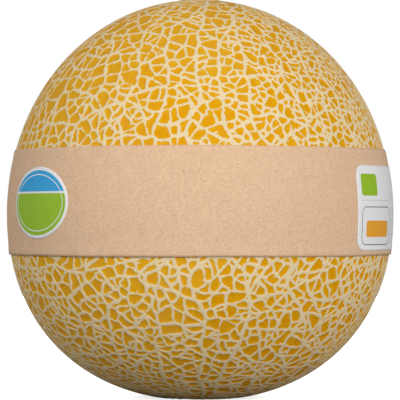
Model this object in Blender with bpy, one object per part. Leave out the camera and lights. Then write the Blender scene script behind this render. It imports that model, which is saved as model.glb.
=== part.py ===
"""A round netted melon that stands on a small flat spot, with a kraft paper band round its middle.

The melon is one solid of revolution, a little taller than wide and blunter below than above. The paper
band is one strip that follows the fruit's curve and laps over itself at the back. A rounded label and an
oval sticker lie on the band. Units are metres, +Z is up, the front faces -Y, and the origin is at the
centre of the spot that the melon rests on.
"""

import math

import bmesh
import bpy

# The fruit
MELON_WIDTH = 0.132
MELON_HEIGHT = 0.1364
WIDEST_HEIGHT = 0.0630
REST_SPOT_RADIUS = 0.0150
UPPER_POWER = 2.03
LOWER_POWER = 2.20
SCAR_RADIUS = 0.0075
SCAR_DEPTH = 0.0012
MELON_SEGMENTS = 64
MELON_UPPER_RINGS = 18
MELON_LOWER_RINGS = 14
SCAR_RINGS = 3

# The paper on it
MATING_GAP = 0.0003
BAND_BOTTOM = 0.0493
BAND_TOP = 0.0841
BAND_THICKNESS = 0.0004
BAND_LAP = 0.014
BAND_SEAM_AZIMUTH = 180.0
BAND_COLUMNS = 96
BAND_ROWS = 5
LAP_RISE_LENGTH = 0.008

LABEL_WIDTH = 0.050
LABEL_HEIGHT = 0.0280
LABEL_CORNER = 0.0030
LABEL_AZIMUTH = 73.0
LABEL_MID_HEIGHT = 0.0647
STICKER_WIDTH = 0.0320
STICKER_HEIGHT = 0.0235
STICKER_AZIMUTH = -54.0
STICKER_MID_HEIGHT = 0.0663
STUCK_THICKNESS = 0.0002

HALF_WIDTH = MELON_WIDTH / 2.0
UPPER_HEIGHT = MELON_HEIGHT - WIDEST_HEIGHT
# The lower half would end in a rounded tip just below the ground: the rest spot cuts that tip off.
LOWER_HEIGHT = WIDEST_HEIGHT / (1.0 - (REST_SPOT_RADIUS / HALF_WIDTH) ** LOWER_POWER) ** (1.0 / LOWER_POWER)


def clear_scene():
    """Remove whatever the open file holds."""
    for old in list(bpy.data.objects):
        bpy.data.objects.remove(old, do_unlink=True)


def make_material(name, colour, roughness):
    """A plain non-metal surface."""
    material = bpy.data.materials.new(name)
    material.use_nodes = True
    shader = material.node_tree.nodes["Principled BSDF"]
    shader.inputs["Base Color"].default_value = (*colour, 1.0)
    shader.inputs["Roughness"].default_value = roughness
    shader.inputs["Metallic"].default_value = 0.0
    return material


def add_object(name, bm, material, smooth_angle=30.0):
    """Turn a bmesh into a named object, with its faces out and its round faces shaded smooth."""
    bmesh.ops.recalc_face_normals(bm, faces=bm.faces)
    mesh = bpy.data.meshes.new(name)
    bm.to_mesh(mesh)
    bm.free()
    mesh.shade_smooth()
    mesh.set_sharp_from_angle(angle=math.radians(smooth_angle))
    mesh.materials.append(material)
    piece = bpy.data.objects.new(name, mesh)
    bpy.context.scene.collection.objects.link(piece)
    return piece


def melon_radius(height):
    """The melon's radius at a height: an upper and a lower superellipse that meet where it is widest."""
    if height >= WIDEST_HEIGHT:
        share, power = (height - WIDEST_HEIGHT) / UPPER_HEIGHT, UPPER_POWER
    else:
        share, power = (WIDEST_HEIGHT - height) / LOWER_HEIGHT, LOWER_POWER
    return HALF_WIDTH * max(0.0, 1.0 - share ** power) ** (1.0 / power)


def melon_slope(height):
    """The outward direction of the melon's side at a height, as (radial, upward) parts of length 1."""
    step = 0.0001
    change = (melon_radius(height + step) - melon_radius(height - step)) / (2.0 * step)
    length = math.hypot(1.0, change)
    return 1.0 / length, -change / length


def melon_profile():
    """The melon's half outline as (radius, height), from the edge of the rest spot up to the stem scar."""
    lower_start = math.asin(WIDEST_HEIGHT / LOWER_HEIGHT)
    points = []
    for i in range(MELON_LOWER_RINGS):
        angle = -lower_start * (1.0 - i / MELON_LOWER_RINGS)
        height = WIDEST_HEIGHT + LOWER_HEIGHT * math.sin(angle)
        points.append((melon_radius(height), max(height, 0.0)))
    scar_rim_height = UPPER_HEIGHT * (1.0 - (SCAR_RADIUS / HALF_WIDTH) ** UPPER_POWER) ** (1.0 / UPPER_POWER)
    upper_end = math.asin(scar_rim_height / UPPER_HEIGHT)
    for i in range(MELON_UPPER_RINGS + 1):
        height = WIDEST_HEIGHT + UPPER_HEIGHT * math.sin(upper_end * i / MELON_UPPER_RINGS)
        points.append((melon_radius(height), height))
    rim_height = points[-1][1]
    for i in range(1, SCAR_RINGS + 1):
        share = i / SCAR_RINGS
        dip = SCAR_DEPTH * 0.5 * (1.0 - math.cos(math.pi * share))
        points.append((SCAR_RADIUS * (1.0 - share), rim_height - dip))
    return points


def build_melon():
    """The whole fruit: the profile spun round the upright axis, with a flat rest spot below."""
    bm = bmesh.new()
    ring_points = [bm.verts.new((radius, 0.0, height)) for radius, height in melon_profile()]
    outline = [bm.edges.new(pair) for pair in zip(ring_points, ring_points[1:])]
    bmesh.ops.spin(
        bm,
        geom=ring_points + outline,
        cent=(0.0, 0.0, 0.0),
        axis=(0.0, 0.0, 1.0),
        angle=math.tau,
        steps=MELON_SEGMENTS,
        use_merge=True,
    )
    bmesh.ops.remove_doubles(bm, verts=bm.verts, dist=0.000001)
    bmesh.ops.holes_fill(bm, edges=[edge for edge in bm.edges if edge.is_boundary])
    rind = make_material("netted_rind", (0.62, 0.40, 0.10), 0.55)
    return add_object("melon", bm, rind)


def on_melon(azimuth, height, stand_off):
    """The point that stands off the melon's side, square to it; azimuth 0 is the front, 90 is +X."""
    radial, upward = melon_slope(height)
    radius = melon_radius(height) + stand_off * radial
    turn = math.radians(azimuth)
    return radius * math.sin(turn), -radius * math.cos(turn), height + stand_off * upward


def arc_degrees(length):
    """The azimuth that a length covers round the melon's widest part."""
    return math.degrees(length / HALF_WIDTH)


def smooth_step(share):
    """0 up to 0, 1 from 1, and an even S between them."""
    share = min(max(share, 0.0), 1.0)
    return share * share * (3.0 - 2.0 * share)


def build_paper_band():
    """The strip: a closed thin sheet swept round the melon, its last stretch lifted over its first."""
    start = BAND_SEAM_AZIMUTH - 360.0 - arc_degrees(BAND_LAP) / 2.0
    sweep = 360.0 + arc_degrees(BAND_LAP)
    rise_start = sweep - arc_degrees(BAND_LAP + LAP_RISE_LENGTH)
    layer = BAND_THICKNESS + MATING_GAP
    bm = bmesh.new()
    sections = []
    for i in range(BAND_COLUMNS + 1):
        along = sweep * i / BAND_COLUMNS
        lift = layer * smooth_step((along - rise_start) / arc_degrees(LAP_RISE_LENGTH - 0.001))
        section = []
        for stand_off, rows in (
            (MATING_GAP + lift, range(BAND_ROWS + 1)),
            (MATING_GAP + lift + BAND_THICKNESS, range(BAND_ROWS, -1, -1)),
        ):
            for j in rows:
                height = BAND_BOTTOM + (BAND_TOP - BAND_BOTTOM) * j / BAND_ROWS
                section.append(bm.verts.new(on_melon(start + along, height, stand_off)))
        sections.append(section)
    for section, following in zip(sections, sections[1:]):
        for j in range(len(section)):
            k = (j + 1) % len(section)
            bm.faces.new((section[j], section[k], following[k], following[j]))
    last = 2 * BAND_ROWS + 1
    for section in (sections[0], sections[-1]):
        for j in range(BAND_ROWS):
            bm.faces.new((section[j], section[j + 1], section[last - j - 1], section[last - j]))
    kraft = make_material("kraft_paper", (0.60, 0.42, 0.28), 0.85)
    return add_object("paper_band", bm, kraft)


def rounded_outline(width, height, corner, corner_steps=5, side_steps=10):
    """A rectangle's outline with round corners, anticlockwise, with points along its long sides too."""
    points = []
    corners = ((1, -1, -90.0), (1, 1, 0.0), (-1, 1, 90.0), (-1, -1, 180.0))
    for side_x, side_y, first_angle in corners:
        centre_x = side_x * (width / 2.0 - corner)
        centre_y = side_y * (height / 2.0 - corner)
        for i in range(corner_steps + 1):
            angle = math.radians(first_angle + 90.0 * i / corner_steps)
            points.append((centre_x + corner * math.cos(angle), centre_y + corner * math.sin(angle)))
    filled = []
    for (x0, y0), (x1, y1) in zip(points, points[1:] + points[:1]):
        filled.append((x0, y0))
        long_side = math.hypot(x1 - x0, y1 - y0) > 2.0 * corner
        for i in range(1, side_steps if long_side else 1):
            filled.append((x0 + (x1 - x0) * i / side_steps, y0 + (y1 - y0) * i / side_steps))
    return filled


def oval_outline(width, height, steps=40):
    """An ellipse's outline, anticlockwise."""
    turns = [math.tau * i / steps for i in range(steps)]
    return [(width / 2.0 * math.cos(turn), height / 2.0 * math.sin(turn)) for turn in turns]


def build_stuck_piece(name, outline, azimuth, mid_height, material, rings=5):
    """A thin closed sheet of the given outline, laid on the band: two skins of shrinking copies of the
    outline about its centre, joined round the edge."""
    below = 2.0 * MATING_GAP + BAND_THICKNESS
    bm = bmesh.new()
    skins = []
    for stand_off in (below, below + STUCK_THICKNESS):
        loops = []
        for ring in range(rings, 0, -1):
            share = ring / rings
            loops.append([
                bm.verts.new(on_melon(azimuth + arc_degrees(x * share), mid_height + y * share, stand_off))
                for x, y in outline
            ])
        middle = bm.verts.new(on_melon(azimuth, mid_height, stand_off))
        skins.append((loops, middle))
    count = len(outline)
    for loops, middle in skins:
        for outer, inner in zip(loops, loops[1:]):
            for i in range(count):
                k = (i + 1) % count
                bm.faces.new((outer[i], outer[k], inner[k], inner[i]))
        for i in range(count):
            bm.faces.new((loops[-1][i], loops[-1][(i + 1) % count], middle))
    under_edge, over_edge = skins[0][0][0], skins[1][0][0]
    for i in range(count):
        k = (i + 1) % count
        bm.faces.new((under_edge[i], under_edge[k], over_edge[k], over_edge[i]))
    return add_object(name, bm, material)


clear_scene()
build_melon()
build_paper_band()
build_stuck_piece(
    "side_label",
    rounded_outline(LABEL_WIDTH, LABEL_HEIGHT, LABEL_CORNER),
    LABEL_AZIMUTH,
    LABEL_MID_HEIGHT,
    make_material("label_paper", (0.85, 0.86, 0.85), 0.45),
)
build_stuck_piece(
    "oval_sticker",
    oval_outline(STICKER_WIDTH, STICKER_HEIGHT),
    STICKER_AZIMUTH,
    STICKER_MID_HEIGHT,
    make_material("sticker_paper", (0.35, 0.55, 0.05), 0.40),
)
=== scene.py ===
"""The looks of a round netted melon with a kraft paper band, a white label and an oval sticker.

The file follows the object as it is put together: the fruit, the band round it, the label and the sticker
on the band, and last the place that it is shown in. Metres throughout, +Z up, the front faces -Y.
"""

import bpy
import numpy as np
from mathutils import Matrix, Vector


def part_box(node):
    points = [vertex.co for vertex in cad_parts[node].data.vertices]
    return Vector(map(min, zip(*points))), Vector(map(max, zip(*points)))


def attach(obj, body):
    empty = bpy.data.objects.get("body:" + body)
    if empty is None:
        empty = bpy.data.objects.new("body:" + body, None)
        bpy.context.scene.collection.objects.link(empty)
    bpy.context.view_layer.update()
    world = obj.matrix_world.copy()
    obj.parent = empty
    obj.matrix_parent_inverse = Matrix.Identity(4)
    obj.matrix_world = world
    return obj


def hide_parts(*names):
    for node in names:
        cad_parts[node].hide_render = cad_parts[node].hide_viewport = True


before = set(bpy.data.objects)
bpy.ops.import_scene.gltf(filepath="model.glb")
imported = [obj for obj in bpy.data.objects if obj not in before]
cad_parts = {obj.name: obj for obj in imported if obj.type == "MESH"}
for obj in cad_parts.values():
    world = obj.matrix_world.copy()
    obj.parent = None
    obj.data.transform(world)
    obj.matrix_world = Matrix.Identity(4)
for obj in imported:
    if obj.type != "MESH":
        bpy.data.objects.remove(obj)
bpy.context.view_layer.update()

# ---------------------------------------------------------------------------------------------------
# The fruit. One grown piece: a thin golden rind under a raised net of dry cream cork, which grew out of
# cracks in the rind. It stands stem end up on a small flat spot. The rind is made as an upper and a
# lower half that share one ring, and that ring lies under the paper band.
# ---------------------------------------------------------------------------------------------------
MM = 0.001
melon_low, melon_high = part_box("melon")
HALF_WIDTH = 0.5 * (melon_high.x - melon_low.x)
WIDEST_HEIGHT = 63.0 * MM
REST_SPOT_RADIUS = 15.0 * MM
UPPER_POWER = 2.03
LOWER_POWER = 2.20
SCAR_RADIUS = 7.5 * MM
SCAR_DEPTH = 1.2 * MM
SCAR_RIM_SHARE = (1.0 - (SCAR_RADIUS / HALF_WIDTH) ** UPPER_POWER) ** (1.0 / UPPER_POWER)
UPPER_HEIGHT = (melon_high.z - WIDEST_HEIGHT) / SCAR_RIM_SHARE
LOWER_SHARE = (1.0 - (REST_SPOT_RADIUS / HALF_WIDTH) ** LOWER_POWER) ** (1.0 / LOWER_POWER)
LOWER_HEIGHT = WIDEST_HEIGHT / LOWER_SHARE


def melon_radius(height):
    """The fruit's radius at a height: an upper and a lower superellipse that meet at the widest height."""
    height = np.asarray(height, float)
    above = height >= WIDEST_HEIGHT
    reach = np.where(above, UPPER_HEIGHT, LOWER_HEIGHT)
    power = np.where(above, UPPER_POWER, LOWER_POWER)
    share = np.clip(np.abs(height - WIDEST_HEIGHT) / reach, 0.0, 1.0)
    return HALF_WIDTH * (1.0 - share ** power) ** (1.0 / power)


def melon_outline(count=4000):
    """The half outline from the stem end down to the middle of the rest spot, at even steps along it.

    Returns arrays of radius and height. Heights run as the sine of an angle, so the steps stay even near
    the crown; the lower tip is cut off level at the rest spot.
    """
    angle = np.linspace(0.5 * np.pi, -0.5 * np.pi, count)
    height = WIDEST_HEIGHT + np.where(angle > 0.0, UPPER_HEIGHT, LOWER_HEIGHT) * np.sin(angle)
    radius = melon_radius(height)
    height = np.maximum(height, 0.0)
    length = np.concatenate([[0.0], np.cumsum(np.hypot(np.diff(radius), np.diff(height)))])
    even = np.linspace(0.0, length[-1], count)
    return np.interp(even, length, radius), np.interp(even, length, height), length[-1]


OUTLINE_RADIUS, OUTLINE_HEIGHT, OUTLINE_LENGTH = melon_outline()
# A place on the fruit is a turn round it (0 is the front, a quarter turn is +X) and a fall, the share of
# the way down its side times pi. Lengths on it are taken on a ball whose half girth is the outline's.
BALL_RADIUS = OUTLINE_LENGTH / np.pi
FALLS = np.linspace(0.0, np.pi, len(OUTLINE_RADIUS))
OUTLINE_ANGLE = np.arctan2(OUTLINE_RADIUS, OUTLINE_HEIGHT - WIDEST_HEIGHT)
# The outline's direction at a point is taken between the points that many steps away on either side.
SLOPE_STEP = 6


def on_ball(fall, turn):
    """Points of the ball that net lengths are measured on: the fall's sine outwards, its cosine upwards."""
    flat = np.sin(fall)
    return BALL_RADIUS * np.stack([flat * np.sin(turn), -flat * np.cos(turn), np.cos(fall)], axis=-1)


def on_fruit(fall, turn, stand_off):
    """Points that stand off the fruit's side, square to it.

    The outline's radius and height at the fall move by the stand-off along the outline's own direction
    turned by a quarter, and the result is turned about the axis. Nothing goes below the ground.
    """
    radius = np.interp(fall, FALLS, OUTLINE_RADIUS)
    height = np.interp(fall, FALLS, OUTLINE_HEIGHT)
    step = SLOPE_STEP
    run = np.roll(OUTLINE_RADIUS, -step) - np.roll(OUTLINE_RADIUS, step)
    rise = np.roll(OUTLINE_HEIGHT, -step) - np.roll(OUTLINE_HEIGHT, step)
    run[:step], run[-step:] = 1.0, -1.0
    rise[:step], rise[-step:] = 0.0, 0.0
    size = np.hypot(run, rise)
    outward = np.interp(fall, FALLS, -rise / size)
    upward = np.interp(fall, FALLS, run / size)
    radius = radius + stand_off * outward
    height = np.maximum(height + stand_off * upward, 0.0)
    return np.stack([radius * np.sin(turn), -radius * np.cos(turn), height], axis=-1)


# The net's strands are cracks that healed, and they formed in order: a few long strands first, from the
# stem end to the tip, then rungs between them, then finer and finer strands that cut each cell across its
# long way, and last a few spurs that stop short. Where strands meet they pull each other into a Y.
NET_SEED = 5
SCAR_FALL = 7.6 * MM / BALL_RADIUS
TIP_FALL = np.pi - 5.0 * MM / BALL_RADIUS
STRAND_SAMPLES, RING_SAMPLES = 420, 97
LINK_LENGTH = 0.5 * MM
FIRST_STRANDS, START_SPREAD = 6, 0.2
LONG_WIDTH, RUNG_WIDTH, FINE_WIDTH, THINNEST = 1.20 * MM, 1.02 * MM, 0.92 * MM, 0.50 * MM
# A pair is the least and the most of a random draw, and a pair of lengths is in millimetres. A gore wider
# than OPEN_GORE gets a strand down its middle, which ends where the gore is narrower than NARROW_GORE. In
# a gore slimmer than SLIM_GORE, most such strands lose SLIM_CUT of their length at one end. A strand
# branches off over BRANCH_LENGTH times the gore's width there.
WIDTH_SPREAD = (0.85, 1.15)
OPEN_GORE, NARROW_GORE = (17.0, 28.0), (9.0, 15.0)
SHORTEST_STRAND = 25.0 * MM
SLIM_GORE, SLIM_ODDS, SLIM_CUT = 36.0 * MM, 0.8, (0.15, 0.5)
BRANCH_LENGTH, LEAST_BRANCH_WIDTH = (1.0, 2.2), 8.0 * MM
MIDDLE_SHARES = (0.5, 0.42, 0.58)
# A waver is its size as a share of the room it has, and its knots or the length of its bends.
SIDE_WAVERS = ((0.16, 5), (0.05, 16))
PATH_WAVERS = ((0.10, 25.0 * MM), (0.04, 8.0 * MM))
draw = np.random.default_rng(NET_SEED)


def drawn_length(limits):
    """A random length between two limits in millimetres."""
    return draw.uniform(*limits) * MM


def wander(count, knots):
    """A smooth random run between -1 and 1: random knots, eased from one to the next."""
    knots = max(2, int(knots))
    values = draw.uniform(-1.0, 1.0, knots + 2)
    place = np.linspace(0.0, knots, count)
    knot = np.minimum(place.astype(int), knots)
    share = place - knot
    share = share * share * (3.0 - 2.0 * share)
    return values[knot] * (1.0 - share) + values[knot + 1] * share


def long_strands():
    """The strands that run from end to end, and the gores between them.

    A few strands start at the stem scar, and a ring closes them off at each end. Each gore that is wide
    enough gets a strand down its middle, which branches off one side, wanders, and runs into a side again,
    and so on until the gores are narrow. A strand's place in its gore is a share of the gore's width.
    """
    fall = np.linspace(SCAR_FALL, TIP_FALL, STRAND_SAMPLES)
    step = (fall[1] - fall[0]) * BALL_RADIUS
    pitch = 2.0 * np.pi / FIRST_STRANDS
    starts = (np.arange(FIRST_STRANDS) + draw.uniform(-START_SPREAD, START_SPREAD, FIRST_STRANDS)) * pitch
    sides = [
        start + pitch * sum(size * wander(STRAND_SAMPLES, knots) for size, knots in SIDE_WAVERS)
        for start in starts
    ]
    strands = [(fall, side, LONG_WIDTH) for side in sides]
    round_turn = np.linspace(0.0, 2.0 * np.pi, RING_SAMPLES)
    strands += [(np.full(RING_SAMPLES, end), round_turn, LONG_WIDTH) for end in (SCAR_FALL, TIP_FALL)]
    sides.append(sides[0] + 2.0 * np.pi)
    todo = [(sides[k], sides[k + 1], 0, STRAND_SAMPLES - 1) for k in range(FIRST_STRANDS)]
    gores = []
    while todo:
        left, right, first, last = todo.pop()
        wide = (right - left) * BALL_RADIUS * np.sin(fall)
        middle = first + int(np.argmax(wide[first:last + 1]))
        widest_gore = drawn_length(OPEN_GORE)
        narrow = drawn_length(NARROW_GORE)
        above = np.flatnonzero(wide[first:middle] <= narrow)
        below = np.flatnonzero(wide[middle:last + 1] <= narrow)
        a = first + above[-1] + 1 if len(above) else first
        b = middle + below[0] - 1 if len(below) else last
        if wide[middle] < SLIM_GORE and draw.random() < SLIM_ODDS:
            cut = int(draw.uniform(*SLIM_CUT) * (b - a))
            a, b = (a + cut, b) if draw.random() < 0.5 else (a, b - cut)
        if wide[middle] < widest_gore or (b - a + 1) * step < SHORTEST_STRAND:
            gores.append((left, right, first, last))
            continue
        count = b - a + 1
        run = np.arange(count) * step
        share = draw.choice(MIDDLE_SHARES)
        for size, bend in PATH_WAVERS:
            share = share + size * wander(count, run[-1] / bend)
        from_left, to_left = draw.random(2) < 0.5
        room = np.maximum([wide[a], wide[b]], LEAST_BRANCH_WIDTH)
        leave, join = draw.uniform(*BRANCH_LENGTH, 2) * room
        opening = np.sin(0.5 * np.pi * np.clip(run / leave, 0.0, 1.0))
        closing = np.sin(0.5 * np.pi * np.clip(run[::-1] / join, 0.0, 1.0))
        share = share * opening if from_left else 1.0 - (1.0 - share) * opening
        share = share * closing if to_left else 1.0 - (1.0 - share) * closing
        path = left[a:b + 1] + (right - left)[a:b + 1] * share
        strands.append((fall[a:b + 1], path, LONG_WIDTH * draw.uniform(*WIDTH_SPREAD)))
        right_of_left, left_of_right = right.copy(), left.copy()
        right_of_left[a:b + 1] = path
        left_of_right[a:b + 1] = path
        todo.append((left, right_of_left, a if from_left else first, b if to_left else last))
        todo.append((left_of_right, right, first if from_left else a, last if to_left else b))
    return fall, strands, gores


def bowed_line(start, end, bow):
    """A line from start to end in even links: a parabola whose height is bow times its length."""
    chord = end - start
    s = np.linspace(0.0, 1.0, max(2, int(np.ceil(np.linalg.norm(chord) / LINK_LENGTH))) + 1)[:, None]
    line = start + chord * s + np.array([-chord[1], chord[0]]) * bow * 4.0 * s * (1.0 - s)
    line[-1] = end
    return line


def cut_outline(outline, turn, shift, bow):
    """Cuts a closed outline across its long way: the cut as a bowed line, and the two outlines it leaves.

    The long way is the main direction of the outline's own spread about its middle. The cut is square to
    it but for the turn, crosses it at shift times the spread from the middle, and runs between the two
    points of the outline that lie nearest to where it meets it.
    """
    following = np.roll(outline, -1, axis=0)
    weight = np.linalg.norm(following - outline, axis=1)[:, None]
    halfway = 0.5 * (outline + following)
    middle = (halfway * weight).sum(axis=0) / weight.sum()
    spread = halfway - middle
    size, way = np.linalg.eigh((spread * weight).T @ spread / weight.sum())
    middle = middle + way[:, 1] * np.sqrt(size[1]) * shift
    heading = np.arctan2(way[1, 1], way[0, 1]) + 0.5 * np.pi + turn
    along = np.array([np.cos(heading), np.sin(heading)])
    side = (outline - middle) @ np.array([-along[1], along[0]])
    next_side = np.roll(side, -1)
    crossed = np.flatnonzero((side < 0.0) != (next_side < 0.0))
    nearer_here = np.abs(side[crossed]) < np.abs(next_side[crossed])
    nearest = np.where(nearer_here, crossed, (crossed + 1) % len(outline))
    reach = (outline[nearest] - middle) @ along
    before, after = np.flatnonzero(reach < 0.0), np.flatnonzero(reach >= 0.0)
    if len(before) == 0 or len(after) == 0:
        return None
    i = nearest[before[np.argmax(reach[before])]]
    j = nearest[after[np.argmin(reach[after])]]
    if min((i - j) % len(outline), (j - i) % len(outline)) < 3:
        return None
    line = bowed_line(outline[i], outline[j], bow)
    onward, back = np.roll(outline, -i, axis=0), np.roll(outline, -j, axis=0)
    one = np.concatenate([onward[:(j - i) % len(outline) + 1], line[-2:0:-1]])
    two = np.concatenate([back[:(i - j) % len(outline) + 1], line[1:-1]])
    return line, one, two


# A cut is given by the spreads of its turn and bow, and between them the reach of its shift. A cell stays
# whole below about WHOLE_CELL times the wanted size, and one larger than SPUR_CELL may get spurs.
CELL_CUT = (0.20, 0.40, 0.06)
SPUR_CUT = (0.60, 0.80, 0.05)
CUT_TRIES = 4
CELL_SIZE = 14.6 * MM * MM
WHOLE_CELL, SIZE_SPREAD = 1.4, 0.30
SPUR_CELL, MOST_SPURS, SPUR_SHARE = 6.0 * MM * MM, 2, (0.35, 0.65)
THINNING = 0.94


def first_cut(outline, turn, shift, bow):
    """The first of a few tries at a cut that works."""
    for _ in range(CUT_TRIES):
        place = draw.normal(0.0, turn), draw.uniform(-shift, shift), draw.normal(0.0, bow)
        cut = cut_outline(outline, *place)
        if cut is not None:
            return cut
    return None


def fine_strands(outline, cell_size):
    """Cuts one outline again and again, until the cells are about cell_size, and adds spurs to them.

    A cell's size is the square of a quarter of its girth, so that a long thin cell counts as a large one.
    Each strand is a little thinner than the one whose cell it cuts. A spur is a cut that stops short.
    """
    found = []
    todo = [(outline, FINE_WIDTH)]
    while todo:
        cell, width = todo.pop()
        size = (0.25 * np.linalg.norm(np.roll(cell, -1, axis=0) - cell, axis=1).sum()) ** 2
        cut = first_cut(cell, *CELL_CUT)
        if cut is None or size < WHOLE_CELL * cell_size * np.exp(draw.normal(0.0, SIZE_SPREAD)):
            for _ in range(draw.integers(0, MOST_SPURS + 1) if size > SPUR_CELL else 0):
                cut = first_cut(cell, *SPUR_CUT)
                if cut is not None:
                    line = cut[0] if draw.random() < 0.5 else cut[0][::-1]
                    keep = max(3, int(len(line) * draw.uniform(*SPUR_SHARE)))
                    found.append((line[:keep], THINNEST, True))
            continue
        line, one, two = cut
        found.append((line, width * draw.uniform(*WIDTH_SPREAD), False))
        thinner = max(THINNEST, width * THINNING)
        todo.append((one, thinner))
        todo.append((two, thinner))
    return found


RUNG_START, RUNG_STEP, END_CLEARANCE = (6.0, 18.0), (10.0, 24.0), 6.0 * MM
RUNG_TILT, STEEPEST_RUNG, RUNG_BOW = 0.35, 7.0 * MM, 0.07


def cell_share(place):
    """How large cells are at a place on the ball, as a share of CELL_SIZE.

    On the upper half they are much larger at the left than at the right, on the lower half about even, and
    over the whole they vary in one broad wave from front to back.
    """
    x, y, z = place / BALL_RADIUS
    return 1.13 - 0.42 * x + 0.15 * z - 0.6 * x * z + 0.15 * np.sin(3.1 * y + 2.0 * z)


def net_strands():
    """Every strand of the net as (fall, turn, width, whether it is a spur).

    A gore is laid out flat about its own middle line, as turn times the ball's girth there against fall.
    Rungs cross it from side to side, and each field between two rungs is cut up into cells.
    """
    fall, strands, gores = long_strands()
    step = (fall[1] - fall[0]) * BALL_RADIUS
    every = [(f, turn, width, False) for f, turn, width in strands]
    for left, right, first, last in gores:
        middle_turn = 0.5 * (left[(first + last) // 2] + right[(first + last) // 2])

        def laid_flat(f, turn):
            """Places of the gore on the flat."""
            return np.stack([(turn - middle_turn) * BALL_RADIUS * np.sin(f), f * BALL_RADIUS], axis=-1)

        def laid_back(points):
            """Flat points as fall and turn again."""
            f = points[:, 1] / BALL_RADIUS
            return f, middle_turn + points[:, 0] / (BALL_RADIUS * np.sin(f))

        rungs = [(first, first)]
        place = first + drawn_length(RUNG_START) / step
        while place < last - END_CLEARANCE / step:
            wide = (right[int(place)] - left[int(place)]) * BALL_RADIUS * np.sin(fall[int(place)])
            tilt = np.clip(draw.normal(0.0, RUNG_TILT) * wide, -STEEPEST_RUNG, STEEPEST_RUNG) / step
            a = max(rungs[-1][0] + 2, int(place - 0.5 * tilt))
            b = max(rungs[-1][1] + 2, int(place + 0.5 * tilt))
            rungs.append((min(a, last - 1), min(b, last - 1)))
            place += drawn_length(RUNG_STEP) / step + 0.5 * abs(tilt)
        rungs.append((last, last))
        ends = [(laid_flat(fall[a], left[a]), laid_flat(fall[b], right[b])) for a, b in rungs]
        lines = [bowed_line(*pair, draw.normal(0.0, RUNG_BOW)) for pair in ends]
        for line in lines[1:-1]:
            every.append((*laid_back(line), RUNG_WIDTH * draw.uniform(*WIDTH_SPREAD), False))
        for (a0, b0), (a1, b1), upper, lower in zip(rungs, rungs[1:], lines, lines[1:]):
            down_right = laid_flat(fall[b0 + 1:b1], right[b0 + 1:b1])
            down_left = laid_flat(fall[a0 + 1:a1], left[a0 + 1:a1])
            outline = np.concatenate([upper, down_right, lower[::-1], down_left[::-1]])
            f, turn = laid_back(outline.mean(axis=0)[None])
            cell_size = CELL_SIZE * cell_share(on_ball(f, turn)[0])
            for line, width, spur in fine_strands(outline, cell_size):
                every.append((*laid_back(line), width, spur))
    return every


MERGE_WITHIN, SHORTEST_LINK = 0.002 * MM, 0.2 * MM


def joined_net(strands):
    """The strands as one net of short links: the ball's points, each link's two points, width and fade.

    Points that two strands share are merged. A spur fades to nothing at its tip.
    """
    points, links, widths, fades, first = [], [], [], [], 0
    for fall, turn, width, spur in strands:
        count = len(fall)
        number = np.arange(first, first + count)
        points.append(on_ball(fall, turn))
        links.append(np.stack([number[:-1], number[1:]], axis=-1))
        widths.append(np.full(count - 1, width))
        fades.append(np.sqrt(np.linspace(1.0, 0.1, count - 1)) if spur else np.ones(count - 1))
        first += count
    points, widths, fades = np.concatenate(points), np.concatenate(widths), np.concatenate(fades)
    rounded = np.rint(points / MERGE_WITHIN)
    kept, same = np.unique(rounded, axis=0, return_index=True, return_inverse=True)[1:]
    links = same.reshape(-1)[np.concatenate(links)]
    real = links[:, 0] != links[:, 1]
    return points[kept], links[real], widths[real], fades[real]


def swirl(points, wavelength, amount, waves=30):
    """A smooth random push at each point: the sum of plane waves of random heading, phase and push."""
    heading = draw.normal(size=(waves, 3))
    heading /= np.linalg.norm(heading, axis=1, keepdims=True)
    per_length = 2.0 * np.pi / (wavelength * draw.uniform(0.7, 1.4, (waves, 1)))
    angle = points @ (heading * per_length).T + draw.uniform(0.0, 2.0 * np.pi, waves)
    return amount * np.sqrt(2.0 / waves) * np.sin(angle) @ draw.normal(size=(waves, 3))


def onto_ball(points):
    """Points moved straight out or in to the ball."""
    return points * (BALL_RADIUS / np.linalg.norm(points, axis=1, keepdims=True))


def drawn_tight(points, links, widths, rounds):
    """Each point moves half way to the mean of its neighbours, time after time, and loose ends stay put.

    A neighbour counts by its link's width over its length, so a wide strand bends little and a thin one
    bends it into a blunt corner.
    """
    i, j = links.T
    count = len(points)
    loose = (np.bincount(links.ravel(), minlength=count) == 1)[:, None]
    for _ in range(rounds):
        pull = widths / np.maximum(np.linalg.norm(points[j] - points[i], axis=1), SHORTEST_LINK)
        total = np.bincount(i, pull, count) + np.bincount(j, pull, count)
        sums = [
            np.bincount(i, pull * points[j, k], count) + np.bincount(j, pull * points[i, k], count)
            for k in range(3)
        ]
        mean = np.stack([one / total for one in sums], axis=-1)
        points = onto_ball(np.where(loose, points, 0.5 * (points + mean)))
    return points


# The strands are spread out as soft ridges: each adds a bell curve of its width's strength, so that the
# sum is 1 along a strand's edges and the corners where strands meet fill in, as cork does.
BELL = 0.29 * MM
SAMPLES_PER_LINK = 2
TIGHTEN_ROUNDS = 14
# A swirl is its wavelength and its push. A swell is its wavelength and its share of a strand's width.
BROAD_SWIRL, FINE_SWIRL, WRIGGLE = (18.0 * MM, 0.5 * MM), (5.5 * MM, 0.24 * MM), (3.0 * MM, 0.15 * MM)
BROAD_SWELL, FINE_SWELL = (6.0 * MM, 0.13), (1.8 * MM, 0.12)
MEAN_WIDTH, WIDER_BELOW = 0.95, 0.10


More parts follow.
